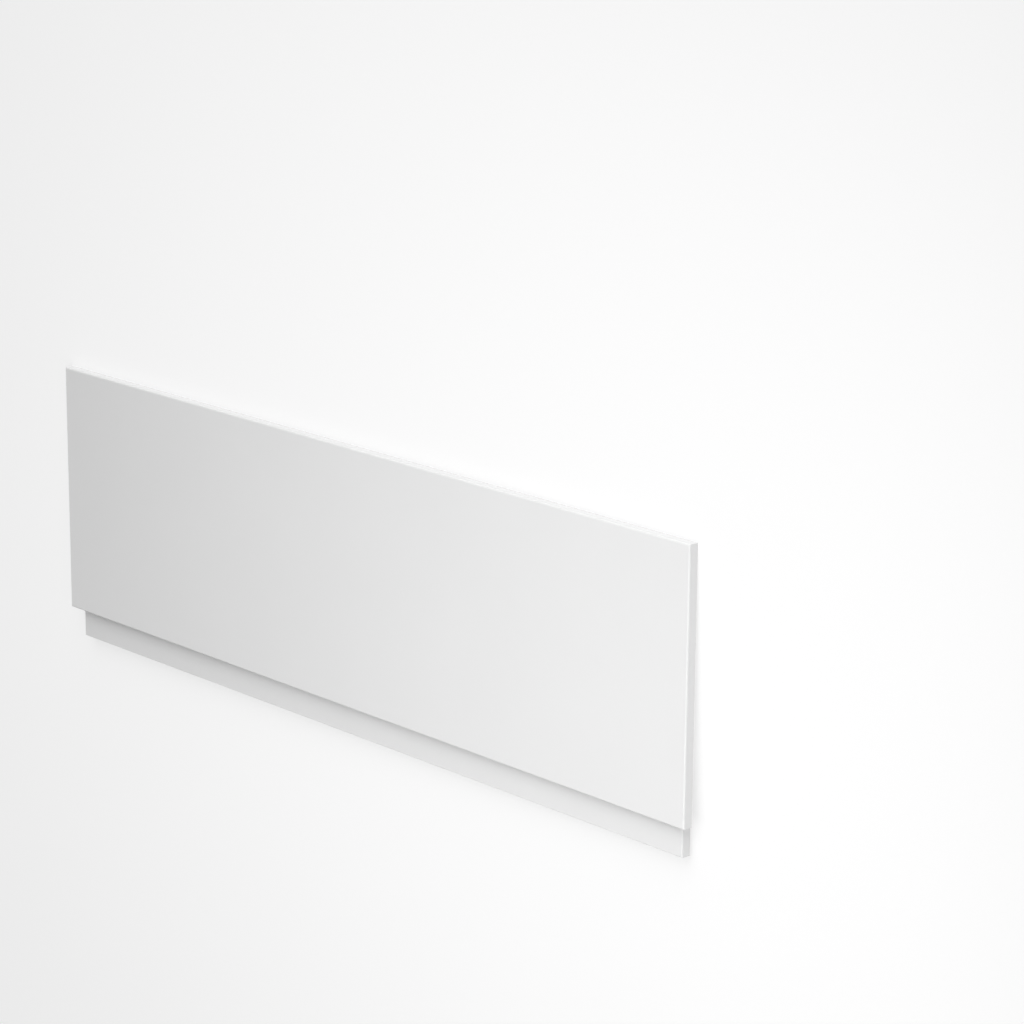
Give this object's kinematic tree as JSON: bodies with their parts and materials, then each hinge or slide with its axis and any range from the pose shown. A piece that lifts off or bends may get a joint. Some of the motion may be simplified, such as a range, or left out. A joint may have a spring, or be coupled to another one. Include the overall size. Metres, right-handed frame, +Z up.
{
  "type": "bath front panel",
  "caption": "Long flat board with a gloss face and rounded front edges, and a set-back plinth board screwed along its foot, to close the side of a bath.",
  "frame": {"origin": "on the floor, under the middle of the part's box as it lies face up", "axes": "+X along the panel, from its left end to its right end as seen from the front; +Y towards the panel's top edge; +Z up, out of the panel's face. The panel rests on the back of its top edge and on the plinth's upper back edge, so its face leans 2.62 degrees from level, higher at the foot."},
  "size_m": [1.7, 0.5439, 0.04],
  "materials": {
    "panel_gloss": "gloss",
    "plinth_gloss": "gloss",
    "zinc_screw": "satin"
  },
  "bodies": {
    "root": {"front_panel": "panel_gloss", "plinth": "plinth_gloss", "plinth_screw_1": "zinc_screw", "plinth_screw_2": "zinc_screw", "plinth_screw_3": "zinc_screw", "plinth_screw_4": "zinc_screw", "plinth_screw_5": "zinc_screw"}
  },
  "joints": []
}
